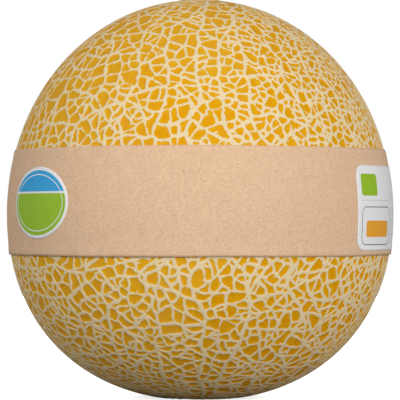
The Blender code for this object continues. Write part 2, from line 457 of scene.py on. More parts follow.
def net_samples():
    """Points of the ball at even steps along the net, and the strength that each one adds.

    The net is swirled by broad and by small waves, drawn tight, and made to wriggle a little. Strands are a
    little wider on the lower half, and swell and shrink along their way.
    """
    points, links, widths, fades = joined_net(net_strands())
    points = onto_ball(points + swirl(points, *BROAD_SWIRL) + swirl(points, *FINE_SWIRL))
    points = drawn_tight(points, links, widths, TIGHTEN_ROUNDS)
    points = onto_ball(points + swirl(points, *WRIGGLE))
    start, way = points[links[:, 0]], points[links[:, 1]] - points[links[:, 0]]
    swell = swirl(start, *BROAD_SWELL)[:, 0] + swirl(start, *FINE_SWELL)[:, 0]
    widths = widths * (MEAN_WIDTH - WIDER_BELOW * start[:, 2] / BALL_RADIUS + swell)
    share = (np.arange(SAMPLES_PER_LINK) + 0.5) / SAMPLES_PER_LINK
    places = start[:, None] + way[:, None] * share[None, :, None]
    spacing = np.linalg.norm(way, axis=1) / SAMPLES_PER_LINK
    at_edge = np.exp((0.5 * widths) ** 2 / (2.0 * BELL ** 2))
    strength = fades * at_edge * spacing / (BELL * np.sqrt(2.0 * np.pi))
    return places.reshape(-1, 3), np.repeat(strength, SAMPLES_PER_LINK)


# Each half of the rind is a square grid laid on the fruit: squares about the end become circles. The two
# halves meet at the band's middle height.
BAND_LOW, BAND_HIGH = (corner.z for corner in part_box("paper_band"))
SEAM_FALL = float(np.interp(-0.5 * (BAND_LOW + BAND_HIGH), -OUTLINE_HEIGHT, FALLS))
HALF_GRID = 640
HALF_TRIANGLES = 192_000


def chart_to_polar(u, v):
    """Square to disc: the larger of |u| and |v| is the distance, and the way round is even along a side."""
    distance = np.maximum(np.abs(u), np.abs(v))
    safe = np.where(distance > 0.0, distance, 1.0)
    quarter = 0.25 * np.pi
    flat = np.abs(u) >= np.abs(v)
    way = np.where(flat, quarter * v / safe * np.sign(u), 2.0 * quarter - quarter * u / safe * np.sign(v))
    way = way + np.where(flat & (u < 0.0), np.pi, 0.0) + np.where(~flat & (v < 0.0), np.pi, 0.0)
    return distance, way


def polar_to_chart(distance, way):
    """Disc to square: the reverse of chart_to_polar."""
    quarter = 0.25 * np.pi
    way = np.mod(way + quarter, 2.0 * np.pi) - quarter
    side = np.floor((way + quarter) / (2.0 * quarter)).astype(int)
    slide = distance * (way - 2.0 * quarter * side) / quarter
    u = np.choose(side, [distance, -slide, -distance, slide])
    v = np.choose(side, [slide, distance, -slide, -distance])
    return u, v


BELL_REACH = 3.0


def spread_strength(points, strengths, grid_points, chart):
    """The sum of the bell curves at every grid point, added one grid offset at a time."""
    size = grid_points.shape[0]
    total = np.zeros(size * size)
    column, row = chart
    column, row = np.rint(column).astype(int), np.rint(row).astype(int)
    closest = 2.0 * np.pi * BALL_RADIUS / (4.0 * size)
    reach = int(np.ceil(BELL_REACH * BELL / closest))
    flat_grid = grid_points.reshape(-1, 3)
    for down in range(-reach, reach + 1):
        for right in range(-reach, reach + 1):
            c, r = column + right, row + down
            inside = (c >= 0) & (c < size) & (r >= 0) & (r < size)
            place = r[inside] * size + c[inside]
            gap = flat_grid[place] - points[inside]
            bell = strengths[inside] * np.exp(-np.einsum("ij,ij->i", gap, gap) / (2.0 * BELL ** 2))
            total += np.bincount(place, weights=bell, minlength=size * size)
    return total.reshape(size, size)


def eased(value, low, high):
    """0 up to low, 1 from high, and an even S between them."""
    share = np.clip((value - low) / (high - low), 0.0, 1.0)
    return share * share * (3.0 - 2.0 * share)


# The net rises from the floor between these two strengths, and is left out under the band, from this far
# in from the band's edges. The scar's rim lies at a share of the scar's radius.
FLOOR_LEVEL = -0.08 * MM
NET_HEIGHT = 0.17 * MM
NET_FOOT, NET_CROWN = 0.40, 1.7
UNDER_BAND = 1.5 * MM
RIM_HEIGHT, RIM_PLACE, RIM_SPREAD = 0.30 * MM, 0.93, 0.12
CRACKS, FISSURE_DEPTH = 9.0, 0.45 * MM


def scar_fissures(fall, turn):
    """Cracks in the stem scar, from 0 to 1.

    The cracks that run outwards are a sharpened cosine of a turn that wanders, and the round one is a bell
    curve about a wavy ring.
    """
    out = fall * BALL_RADIUS / SCAR_RADIUS
    turn = turn + 0.22 * np.sin(3.0 * turn + 5.0 * out) + 0.12 * np.sin(7.0 * turn - 9.0 * out + 1.0)
    radial = np.maximum(np.cos(CRACKS * turn), 0.0) ** 5
    radial = radial * eased(out, 0.20, 0.42) * (1.0 - eased(out, 0.70, 0.92))
    ring = np.exp(-((out - 0.24 - 0.03 * np.sin(4.0 * turn)) / 0.05) ** 2)
    return np.maximum(radial, 0.8 * ring)


def relief(strength, fall, turn):
    """How far the surface stands off: the rind's floor, the net on it, and the dish and rim of the scar."""
    height = np.interp(fall, FALLS, OUTLINE_HEIGHT)
    covered = eased(height, BAND_LOW + UNDER_BAND, BAND_LOW + 2.0 * UNDER_BAND)
    covered *= 1.0 - eased(height, BAND_HIGH - 2.0 * UNDER_BAND, BAND_HIGH - UNDER_BAND)
    net = NET_HEIGHT * eased(strength, NET_FOOT, NET_CROWN) * (1.0 - covered)
    from_stem = fall * BALL_RADIUS / SCAR_RADIUS
    dip = SCAR_DEPTH * 0.5 * (1.0 + np.cos(np.pi * np.clip(from_stem, 0.0, 1.0)))
    rim = RIM_HEIGHT * np.exp(-((from_stem - RIM_PLACE) / RIM_SPREAD) ** 2)
    return FLOOR_LEVEL + net + rim - dip - FISSURE_DEPTH * scar_fissures(fall, turn)


def sampled(grid, column, row):
    """The grid's value between its points, straight from the four around each place."""
    size = grid.shape[0]
    c = np.clip(np.floor(column).astype(int), 0, size - 2)
    r = np.clip(np.floor(row).astype(int), 0, size - 2)
    x, y = column - c, row - r
    if grid.ndim == 3:
        x, y = x[:, None], y[:, None]
    upper = grid[r, c] * (1.0 - x) + grid[r, c + 1] * x
    lower = grid[r + 1, c] * (1.0 - x) + grid[r + 1, c + 1] * x
    return upper * (1.0 - y) + lower * y


def add_mesh(name, points, faces):
    """A mesh object at the origin from arrays of points and of equal-sided faces."""
    mesh = bpy.data.meshes.new(name)
    mesh.vertices.add(len(points))
    mesh.vertices.foreach_set("co", np.ascontiguousarray(points, np.float32).ravel())
    sides = faces.shape[1]
    mesh.loops.add(faces.size)
    mesh.loops.foreach_set("vertex_index", np.ascontiguousarray(faces, np.int32).ravel())
    mesh.polygons.add(len(faces))
    mesh.polygons.foreach_set("loop_start", np.arange(0, faces.size, sides, dtype=np.int32))
    mesh.update(calc_edges=True)
    mesh.validate()
    mesh.shade_smooth()
    piece = bpy.data.objects.new(name, mesh)
    bpy.context.scene.collection.objects.link(piece)
    return piece


def grid_faces(rows, columns):
    """Quads over a grid of points numbered row by row."""
    corner = np.arange(rows * columns).reshape(rows, columns)
    return np.stack(
        [corner[:-1, :-1], corner[:-1, 1:], corner[1:, 1:], corner[1:, :-1]], axis=-1
    ).reshape(-1, 4)


def apply_modifiers(piece):
    """Replaces the piece's mesh by what its modifiers make of it."""
    shown = piece.evaluated_get(bpy.context.evaluated_depsgraph_get())
    made = bpy.data.meshes.new_from_object(shown)
    made.name = piece.name
    piece.modifiers.clear()
    piece.data = made


def set_map(mesh, name, across, up):
    """A UV map from two values per vertex."""
    corners = np.empty(len(mesh.loops), np.int32)
    mesh.loops.foreach_get("vertex_index", corners)
    values = np.stack([across[corners], up[corners]], axis=-1)
    mesh.uv_layers.new(name=name).data.foreach_set("uv", values.astype(np.float32).ravel())


# A half takes in the net's samples up to a little past the seam, so that both halves agree there.
PAST_SEAM = 1.02


def rind_half(name, upper, points, strengths):
    """One half of the rind: the square chart at full detail, thinned where the surface is plain.

    The fall is the chart's distance from the end times the seam's own distance, so grid lines stay even.
    After thinning, every point takes the net's strength and the surface's direction from the full grid.
    """
    reach = SEAM_FALL if upper else np.pi - SEAM_FALL
    ticks = np.linspace(-1.0, 1.0, HALF_GRID + 1)
    u, v = np.meshgrid(ticks, ticks)
    distance, way = chart_to_polar(u, v)
    fall = distance * reach if upper else np.pi - distance * reach
    turn = way if upper else -way
    sample_fall = np.arccos(np.clip(points[:, 2] / BALL_RADIUS, -1.0, 1.0))
    sample_turn = np.arctan2(points[:, 0], -points[:, 1])
    from_end = (sample_fall if upper else np.pi - sample_fall) / reach
    near = from_end < PAST_SEAM
    chart = polar_to_chart(from_end[near], sample_turn[near] if upper else -sample_turn[near])
    chart = [(c + 1.0) * 0.5 * HALF_GRID for c in chart]
    strength = spread_strength(points[near], strengths[near], on_ball(fall, turn), chart)
    surface = on_fruit(fall, turn, relief(strength, fall, turn))
    slope_u = np.gradient(surface, axis=1)
    slope_v = np.gradient(surface, axis=0)
    facing = np.cross(slope_u, slope_v)
    facing /= np.maximum(np.linalg.norm(facing, axis=-1, keepdims=True), 1e-12)
    piece = add_mesh(name, surface.reshape(-1, 3), grid_faces(HALF_GRID + 1, HALF_GRID + 1))
    thin = piece.modifiers.new("thin_out", "DECIMATE")
    thin.ratio = HALF_TRIANGLES / (2.0 * HALF_GRID ** 2)
    apply_modifiers(piece)
    mesh = piece.data
    place = np.empty(3 * len(mesh.vertices), np.float32)
    mesh.vertices.foreach_get("co", place)
    place[2::3] = np.maximum(place[2::3], 0.0)
    mesh.vertices.foreach_set("co", place)
    x, y, z = place.reshape(-1, 3).astype(float).T
    kept_fall = np.interp(np.arctan2(np.hypot(x, y), z - WIDEST_HEIGHT), OUTLINE_ANGLE, FALLS)
    kept_turn = np.arctan2(x, -y)
    from_end = (kept_fall if upper else np.pi - kept_fall) / reach
    u, v = polar_to_chart(np.minimum(from_end, 1.0), kept_turn if upper else -kept_turn)
    column, row = (u + 1.0) * 0.5 * HALF_GRID, (v + 1.0) * 0.5 * HALF_GRID
    net = mesh.attributes.new("net", "FLOAT", "POINT")
    net.data.foreach_set("value", sampled(strength, column, row).astype(np.float32))
    fissure = mesh.attributes.new("fissure", "FLOAT", "POINT")
    fissure.data.foreach_set("value", scar_fissures(kept_fall, kept_turn).astype(np.float32))
    set_map(mesh, "OFBake", (u + 1.0) * 0.5, (v + 1.0) * 0.5)
    mesh.normals_split_custom_set_from_vertices(sampled(facing, column, row))
    return piece


net_points, net_strengths = net_samples()
rind_upper = rind_half("rind_upper", True, net_points, net_strengths)
rind_lower = rind_half("rind_lower", False, net_points, net_strengths)


def add_node(tree, kind, settings=None, inputs=None):
    """A shader node with its settings, and its inputs set or linked."""
    node = tree.nodes.new(kind)
    for name, value in (settings or {}).items():
        setattr(node, name, value)
    for name, value in (inputs or {}).items():
        if isinstance(value, bpy.types.NodeSocket):
            tree.links.new(value, node.inputs[name])
        else:
            node.inputs[name].default_value = value
    return node


def mixed(tree, share, first, second):
    """A colour between two colours."""
    inputs = {0: share}
    for index, colour in ((6, first), (7, second)):
        inputs[index] = colour if isinstance(colour, bpy.types.NodeSocket) else (*colour, 1.0)
    return add_node(tree, "ShaderNodeMix", {"data_type": "RGBA"}, inputs).outputs[2]


def mapped(tree, value, low, high, to_low=0.0, to_high=1.0):
    """A value eased from one range to another, and held at the ends."""
    inputs = {"Value": value, "From Min": low, "From Max": high, "To Min": to_low, "To Max": to_high}
    return add_node(tree, "ShaderNodeMapRange", {"interpolation_type": "SMOOTHSTEP"}, inputs).outputs[0]


def maths(tree, operation, first, second=0.0, third=0.0):
    """One sum on values."""
    inputs = {0: first, 1: second, 2: third}
    return add_node(tree, "ShaderNodeMath", {"operation": operation}, inputs).outputs[0]


def vector_maths(tree, operation, first, second=(0.0, 0.0, 0.0)):
    """One sum on vectors: its answer is a vector, or a value where the sum takes a length."""
    node = add_node(tree, "ShaderNodeVectorMath", {"operation": operation}, {0: first, 1: second})
    return node.outputs["Value" if operation == "LENGTH" else "Vector"]


def stored(tree, name):
    """A value that the mesh holds at each point."""
    return add_node(tree, "ShaderNodeAttribute", {"attribute_name": name}).outputs["Fac"]


def tinted(tree, mask, strength, colour, tint):
    """A colour with a tint over it where the mask says, no stronger than the given strength."""
    return mixed(tree, maths(tree, "MULTIPLY", mask, strength), colour, tint)


def tipped(tree, height, strength, depth):
    """The surface's direction, tipped by a pattern's height."""
    inputs = {"Strength": strength, "Distance": depth, "Height": height}
    return add_node(tree, "ShaderNodeBump", None, inputs).outputs["Normal"]


def noise(tree, place, scale, detail=2.0, roughness=0.5):
    """Noise between 0 and 1 at so many lumps to the metre."""
    inputs = {"Vector": place, "Scale": scale, "Detail": detail, "Roughness": roughness}
    return add_node(tree, "ShaderNodeTexNoise", None, inputs).outputs["Fac"]


def new_group(name, inputs, outputs):
    """An empty shader node group, with its ways in and out."""
    group = bpy.data.node_groups.new(name, "ShaderNodeTree")
    for socket, kind in inputs:
        group.interface.new_socket(socket, in_out="INPUT", socket_type=kind)
    for socket, kind in outputs:
        group.interface.new_socket(socket, in_out="OUTPUT", socket_type=kind)
    return group, group.nodes.new("NodeGroupInput").outputs, group.nodes.new("NodeGroupOutput").inputs


def new_material(name):
    """A material with its node tree, its shader node and its object coordinates."""
    material = bpy.data.materials.new(name)
    material.use_nodes = True
    tree = material.node_tree
    place = tree.nodes.new("ShaderNodeTexCoord").outputs["Object"]
    return material, tree, tree.nodes["Principled BSDF"], place


def feed(tree, shader, **values):
    """Links patterns to the shader's inputs, and sets the plain ones on its own sockets."""
    for name, value in values.items():
        socket = shader.inputs[name.replace("_", " ").title().replace("Ior", "IOR")]
        if isinstance(value, bpy.types.NodeSocket):
            tree.links.new(value, socket)
        else:
            socket.default_value = value


# Mottle is shared by the rind and the papers: broad and fine unevenness of colour, as one value.
mottle, entry, exit_ = new_group(
    "mottle",
    [
        ("Place", "NodeSocketVector"),
        ("Broad Scale", "NodeSocketFloat"),
        ("Fine Scale", "NodeSocketFloat"),
        ("Fine Share", "NodeSocketFloat"),
    ],
    [("Value", "NodeSocketFloat")],
)
broad = noise(mottle, entry["Place"], entry["Broad Scale"], 3.0)
fine = noise(mottle, entry["Place"], entry["Fine Scale"], 3.0, 0.6)
blend = {0: entry["Fine Share"], 2: broad, 3: fine}
blended = add_node(mottle, "ShaderNodeMix", {"data_type": "FLOAT"}, blend).outputs[0]
mottle.links.new(mapped(mottle, blended, 0.25, 0.75), exit_["Value"])


def mottled(tree, place, broad_scale, fine_scale, fine_share):
    """The mottle group placed in a material, with its lumps to the metre and the fine ones' share."""
    inputs = {"Place": place, "Broad Scale": broad_scale, "Fine Scale": fine_scale}
    inputs["Fine Share"] = fine_share
    return add_node(tree, "ShaderNodeGroup", {"node_tree": mottle}, inputs).outputs["Value"]


GOLD_RIGHT, DEEP_RIGHT = (0.74, 0.37, 0.002), (0.68, 0.26, 0.001)
GOLD_LEFT, DEEP_LEFT = (0.73, 0.395, 0.008), (0.75, 0.32, 0.028)
CREAM, TAN_CORK = (0.83, 0.67, 0.40), (0.66, 0.53, 0.34)
SCAR_CORK, SCAR_CRACK = (0.52, 0.39, 0.22), (0.17, 0.10, 0.05)
RIND_ROUGHNESS, CORK_ROUGHNESS, RIND_SPECULAR = 0.42, 0.85, 0.05
# A mottle is its broad and its fine lumps to the metre, and the fine ones' share.
SIDE_MOTTLE, FLOOR_MOTTLE = (22.0, 160.0, 0.35), (420.0, 1500.0, 0.6)
CORK_MOTTLE, CRUMB_MOTTLE = (180.0, 1400.0, 0.6), (400.0, 1800.0, 0.5)
TAN_SHARE, CRUMB_SHARE = 0.55, 0.45
# The net's edge lies where its strength passes these values, and is torn this much by noise this fine.
CORK_FROM, CORK_TO = 0.90, 1.12
RAGGEDNESS, RAGGED_SCALE = 2.2, 1300.0
BLOSSOM_RADIUS = 3.5 * MM
SPOT_MARGIN, SPOT_WANDER, SPOT_SCALE = 0.9 * MM, 1.2 * MM, 500.0
GRAIN_SCALE, GRAIN_DEPTH = 2600.0, 0.2 * MM

rind, tree, shader, place = new_material("netted_rind")
strength = stored(tree, "net")
ragged = noise(tree, place, RAGGED_SCALE)
ragged = maths(tree, "MULTIPLY_ADD", ragged, RAGGEDNESS, 1.0 - 0.5 * RAGGEDNESS)
cork = mapped(tree, maths(tree, "MULTIPLY", ragged, strength), CORK_FROM, CORK_TO)
# The floor's gold is browner at the left and purer at the right, with broad patches between.
axes = add_node(tree, "ShaderNodeSeparateXYZ", None, {"Vector": place}).outputs
side = maths(tree, "MULTIPLY_ADD", axes["X"], 0.5 / HALF_WIDTH, mottled(tree, place, *SIDE_MOTTLE))
side = mapped(tree, side, 0.1, 0.9)
# A cell's floor is deepest in the middle, away from the net, and speckled.
middle = mapped(tree, strength, 0.0, 0.5, 1.0, 0.35)
deep = maths(tree, "MULTIPLY", mottled(tree, place, *FLOOR_MOTTLE), middle)
gold = mixed(tree, side, GOLD_LEFT, GOLD_RIGHT)
ground = mixed(tree, deep, gold, mixed(tree, side, DEEP_LEFT, DEEP_RIGHT))
net_colour = tinted(tree, mottled(tree, place, *CORK_MOTTLE), TAN_SHARE, CREAM, TAN_CORK)
# The scar and the blossom spot are bare brown cork about the axis, at the top and at the bottom.
flat_place = add_node(tree, "ShaderNodeCombineXYZ", None, {"X": axes["X"], "Y": axes["Y"]}).outputs[0]
off_axis = vector_maths(tree, "LENGTH", flat_place)
off_axis = maths(tree, "MULTIPLY_ADD", noise(tree, place, SPOT_SCALE), SPOT_WANDER, off_axis)
at_top = maths(tree, "GREATER_THAN", axes["Z"], WIDEST_HEIGHT)
spot_edge = BLOSSOM_RADIUS + SPOT_MARGIN
spot_edge = maths(tree, "MULTIPLY_ADD", at_top, SCAR_RADIUS - BLOSSOM_RADIUS, spot_edge)
bare = mapped(tree, maths(tree, "SUBTRACT", spot_edge, off_axis), -0.3 * MM, 0.5 * MM)
crumbs = maths(tree, "MULTIPLY", mottled(tree, place, *CRUMB_MOTTLE), CRUMB_SHARE)
cracked = maths(tree, "MAXIMUM", crumbs, stored(tree, "fissure"))
scar_colour = mixed(tree, cracked, SCAR_CORK, SCAR_CRACK)
dull = maths(tree, "MAXIMUM", cork, bare)
grain = maths(tree, "MULTIPLY", noise(tree, place, GRAIN_SCALE, 3.0, 0.65), cork)
feed(
    tree, shader,
    base_color=mixed(tree, bare, mixed(tree, cork, ground, net_colour), scar_colour),
    roughness=mapped(tree, dull, 0.0, 1.0, RIND_ROUGHNESS, CORK_ROUGHNESS),
    specular_ior_level=RIND_SPECULAR,
    normal=tipped(tree, grain, 0.5, GRAIN_DEPTH),
)

for half in (rind_upper, rind_lower):
    half.data.materials.append(rind)
    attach(half, "root")
    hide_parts("melon")

# ---------------------------------------------------------------------------------------------------
# The paper band. One strip of brown kraft paper, wrapped round the fruit over the net so that it takes
# the fruit's curve. Its last stretch laps over its first at the back, where the two are glued.
# ---------------------------------------------------------------------------------------------------
PAPER_THICKNESS, PAPER_CLEARANCE = 0.24 * MM, 0.02 * MM
OVER_NET = FLOOR_LEVEL + NET_HEIGHT + PAPER_CLEARANCE
LAP_LENGTH = 14.0 * MM
LAP_RISE = 7.0 * MM
LAP_GAP, RIPPLE = 0.03 * MM, 0.03 * MM
EDGE_WAVE = 0.12 * MM
# How far the paper stands away at its lower and its upper edge, and how far in from the edge that starts.
LIFT_LOW, LIFT_HIGH = 0.34 * MM, 0.12 * MM
LIFT_LOW_REACH, LIFT_HIGH_REACH = 5.0 * MM, 4.0 * MM
BAND_COLUMNS, BAND_ROWS = 480, 44
KRAFT, KRAFT_DARK, KRAFT_PALE = (0.79, 0.53, 0.335), (0.54, 0.34, 0.20), (0.90, 0.68, 0.49)
KRAFT_FLECK = (0.36, 0.20, 0.10)
KRAFT_MOTTLE, MOTTLE_SHARE = (300.0, 1250.0, 0.75), 0.60
KRAFT_THREADS, DARK_SHARE, PALE_SHARE = 620.0, 0.50, 0.60
FLECK_SCALE, FLECK_SHARE = 1500.0, 0.40


def fall_at(height):
    """The fall of a place at a height on the fruit's side."""
    return np.interp(-height, -OUTLINE_HEIGHT, FALLS)


def edge_lift(height):
    """How far the paper stands away near the band's edges: two eased steps, the lower one larger."""
    low = LIFT_LOW * (1.0 - eased(height - BAND_LOW, 0.0, LIFT_LOW_REACH))
    high = LIFT_HIGH * (1.0 - eased(BAND_HIGH - height, 0.0, LIFT_HIGH_REACH))
    return low + high


def band_surface(rows, columns):
    """The strip's inner face: turn runs along it and height across it.

    Both long edges wander by a tenth of a millimetre. The stand-off is level but for faint ripples, and
    rises by one thickness where the last stretch climbs over the first.
    """
    lap = LAP_LENGTH / HALF_WIDTH
    turn = np.linspace(-np.pi - 0.5 * lap, np.pi + 0.5 * lap, columns)[None, :]
    share = np.linspace(0.0, 1.0, rows)[:, None]
    low = BAND_LOW + EDGE_WAVE * (np.sin(5.0 * turn + 1.0) + 0.6 * np.sin(13.0 * turn)) * 0.5
    high = BAND_HIGH + EDGE_WAVE * (np.sin(4.0 * turn + 2.3) + 0.6 * np.sin(11.0 * turn + 1.0)) * 0.5
    height = low + (high - low) * share
    climb = eased(turn, np.pi - 0.5 * lap - LAP_RISE / HALF_WIDTH, np.pi - 0.5 * lap)
    ripple = RIPPLE * np.sin(9.0 * turn + 4.0 * share) * np.sin(6.0 * share + 17.0 * turn)
    stand_off = OVER_NET + ripple + edge_lift(height) + (PAPER_THICKNESS + LAP_GAP) * climb
    return on_fruit(fall_at(height), turn + np.zeros_like(share), stand_off), turn, share


def give_thickness(piece, thickness):
    """Gives a sheet its thickness, outwards."""
    wall = piece.modifiers.new("thickness", "SOLIDIFY")
    wall.thickness = thickness
    wall.offset = 1.0
    wall.use_even_offset = False


surface, turn, share = band_surface(BAND_ROWS, BAND_COLUMNS)
paper_band = add_mesh("kraft_band", surface.reshape(-1, 3), grid_faces(BAND_ROWS, BAND_COLUMNS))
set_map(
    paper_band.data, "flat",
    (turn * HALF_WIDTH + np.zeros_like(share)).ravel(),
    ((BAND_HIGH - BAND_LOW) * share + np.zeros_like(turn)).ravel(),
)
give_thickness(paper_band, PAPER_THICKNESS)

# Fibres are shared by the band and the label: short threads that lie every way, darker and paler than the
# sheet.
fibres, entry, exit_ = new_group(
    "paper_fibres",
    [("Place", "NodeSocketVector"), ("Scale", "NodeSocketFloat")],
    [("Dark", "NodeSocketFloat"), ("Pale", "NodeSocketFloat"), ("Height", "NodeSocketFloat")],
)
# Each lay of threads: the way they run in radians, how drawn out they are, and a shift to set them apart.
THREAD_LAYS = ((0.25, 5.0, 0.0), (1.35, 4.0, 3.0), (2.35, 6.0, 7.0))
threads = []
for angle, stretch, shift in THREAD_LAYS:
    lay = {
        "Vector": entry["Place"],
        "Location": (shift, shift, 0.0),
        "Rotation": (0.0, 0.0, angle),
        "Scale": (1.0, stretch, 1.0),
    }
    laid = add_node(fibres, "ShaderNodeMapping", None, lay)
    threads.append(noise(fibres, laid.outputs["Vector"], entry["Scale"], 2.0, 0.55))
dark = maths(fibres, "MAXIMUM", threads[0], threads[1])
pale = maths(fibres, "MAXIMUM", threads[1], threads[2])
fibres.links.new(mapped(fibres, dark, 0.57, 0.74), exit_["Dark"])
fibres.links.new(mapped(fibres, pale, 0.56, 0.76), exit_["Pale"])
total = maths(fibres, "ADD", maths(fibres, "ADD", threads[0], threads[1]), threads[2])
fibres.links.new(total, exit_["Height"])


def flat_map(tree):
    """The piece's own map of the flat sheet, in metres."""
    return add_node(tree, "ShaderNodeUVMap", {"uv_map": "flat"}).outputs["UV"]


def threaded(tree, place, scale):
    """The fibre group placed in a material: its dark threads, its pale threads and their height."""
    inputs = {"Place": place, "Scale": scale}
    return add_node(tree, "ShaderNodeGroup", {"node_tree": fibres}, inputs).outputs


kraft, tree, shader, place = new_material("kraft_paper")
thread = threaded(tree, flat_map(tree), KRAFT_THREADS)
sheet = tinted(tree, mottled(tree, place, *KRAFT_MOTTLE), MOTTLE_SHARE, KRAFT, KRAFT_DARK)
sheet = tinted(tree, thread["Dark"], DARK_SHARE, sheet, KRAFT_DARK)
sheet = tinted(tree, thread["Pale"], PALE_SHARE, sheet, KRAFT_PALE)
flecks = mapped(tree, noise(tree, place, FLECK_SCALE, 1.0), 0.69, 0.77)
sheet = tinted(tree, flecks, FLECK_SHARE, sheet, KRAFT_FLECK)
feed(tree, shader, base_color=sheet, roughness=0.88, normal=tipped(tree, thread["Height"], 0.35, 0.1 * MM))
paper_band.data.materials.append(kraft)
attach(paper_band, "root")
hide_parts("paper_band")

# ---------------------------------------------------------------------------------------------------
# The side label. Smooth white paper with rounded corners, stuck to the band at the right. It is printed
# with a plain green field, a thin rule, a grey frame round an amber bar, and ruled lines to write on.
# ---------------------------------------------------------------------------------------------------
LABEL_WIDTH, LABEL_HEIGHT, LABEL_CORNER = 50.0 * MM, 28.0 * MM, 4.0 * MM
STUCK_THICKNESS, STUCK_CLEARANCE = 0.10 * MM, 0.04 * MM
ON_BAND = OVER_NET + PAPER_THICKNESS + STUCK_CLEARANCE
WHITE_PAPER, PALE_GREY, DARK_GREY = (0.84, 0.84, 0.85), (0.50, 0.50, 0.50), (0.12, 0.12, 0.12)
LEAF_GREEN, WARM_AMBER = (0.30, 0.52, 0.006), (0.84, 0.37, 0.015)
LABEL_RINGS, LABEL_THREADS = 30, 900.0
# Where each print lies from the label's middle, along and up, with its size and its corners' radius.
FIELD_CENTRE, FIELD_SIZE, FIELD_CORNER = (-17.0 * MM, 7.6 * MM), (11.0 * MM, 7.2 * MM), 1.2 * MM
FRAME_CENTRE, FRAME_SIZE, FRAME_CORNER = (-10.9 * MM, -5.9 * MM), (23.2 * MM, 12.4 * MM), 2.6 * MM
BAR_CENTRE, BAR_SIZE, BAR_CORNER = (-10.9 * MM, -6.9 * MM), (18.0 * MM, 5.4 * MM), 1.2 * MM
RULE_CENTRE, RULE_SIZE = (-10.9 * MM, 2.5 * MM), (23.2 * MM, 0.16 * MM)
LINE_MIDDLE, LINE_SIZE, LINE_PITCH, LINES = 12.6 * MM, (18.0 * MM, 0.16 * MM), 4.4 * MM, 5
FRAME_LINE = 0.30 * MM
# Half the width over which a printed field and a printed line fade at their edges.
FIELD_FADE, LINE_FADE = 0.05 * MM, 0.04 * MM


def rounded_rectangle(width, height, corner, corner_steps=10, side_steps=24):
    """A rectangle's outline with round corners, anticlockwise: four times a quarter circle and a side."""
    x, y = 0.5 * width - corner, 0.5 * height - corner
    arc = np.linspace(0.0, 0.5 * np.pi, corner_steps)
    quarters = [
        np.stack([cx + corner * np.cos(arc + turn), cy + corner * np.sin(arc + turn)], axis=-1)
        for turn, cx, cy in zip(0.5 * np.pi * np.arange(4), (x, -x, -x, x), (y, y, -y, -y))
    ]
    share = np.linspace(0.0, 1.0, side_steps)[1:-1, None]
    outline = []
    for quarter, following in zip(quarters, quarters[1:] + quarters[:1]):
        outline.extend([quarter, quarter[-1] + (following[0] - quarter[-1]) * share])
    return np.concatenate(outline)


def stuck_sheet(name, outline, node, rings):
    """A sheet of the given outline on the band, centred over its CAD node.

    Ring upon ring, the outline is scaled about its middle, and each point is laid on the fruit's side at
    its distance along and up. The map holds the flat sheet in metres, and so do the flat points returned.
    """
    low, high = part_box(node)
    middle = 0.5 * (low + high)
    middle_turn = np.arctan2(middle.x, -middle.y)
    share = np.linspace(0.0, 1.0, rings + 1)[1:, None, None]
    flat = np.concatenate([np.zeros((1, 2)), (outline[None] * share).reshape(-1, 2)])
    turn = middle_turn + flat[:, 0] / HALF_WIDTH
    height = middle.z + flat[:, 1]
    points = on_fruit(fall_at(height), turn, ON_BAND + edge_lift(height))
    count = len(outline)
    ring = 1 + np.arange(rings * count).reshape(rings, count)
    nxt = np.roll(ring, -1, axis=1)
    quads = np.stack([ring[:-1], ring[1:], nxt[1:], nxt[:-1]], axis=-1).reshape(-1, 4)
    mesh = bpy.data.meshes.new(name)
    hub = np.stack([np.zeros(count, int), ring[0], nxt[0]], axis=-1)
    mesh.from_pydata(points.tolist(), [], hub.tolist() + quads.tolist())
    mesh.shade_smooth()
    piece = bpy.data.objects.new(name, mesh)
    bpy.context.scene.collection.objects.link(piece)
    set_map(mesh, "flat", flat[:, 0], flat[:, 1])
    give_thickness(piece, STUCK_THICKNESS)
    return piece, flat


label_outline = rounded_rectangle(LABEL_WIDTH, LABEL_HEIGHT, LABEL_CORNER)
label, _ = stuck_sheet("side_label_paper", label_outline, "side_label", LABEL_RINGS)


def outside_box(tree, place, centre, size, corner):
    """The distance outside a rounded box: how far a place lies beyond the box without its corners, less
    the corner's radius. It is negative inside."""
    inner = (0.5 * size[0] - corner, 0.5 * size[1] - corner, 0.0)
    away = vector_maths(tree, "SUBTRACT", place, (*centre, 0.0))
    beyond = vector_maths(tree, "SUBTRACT", vector_maths(tree, "ABSOLUTE", away), inner)
    reach = vector_maths(tree, "LENGTH", vector_maths(tree, "MAXIMUM", beyond))
    parts = add_node(tree, "ShaderNodeSeparateXYZ", None, {"Vector": beyond}).outputs
    within = maths(tree, "MINIMUM", maths(tree, "MAXIMUM", parts["X"], parts["Y"]), 0.0)
    return maths(tree, "SUBTRACT", maths(tree, "ADD", reach, within), corner)


def filled(tree, distance):
    """1 inside and 0 outside, eased across the edge."""
    return mapped(tree, distance, -FIELD_FADE, FIELD_FADE, 1.0, 0.0)


def lined(tree, distance, width):
    """1 along a line of the given width on the edge itself."""
    half = 0.5 * width
    return mapped(tree, maths(tree, "ABSOLUTE", distance), half - LINE_FADE, half + LINE_FADE, 1.0, 0.0)


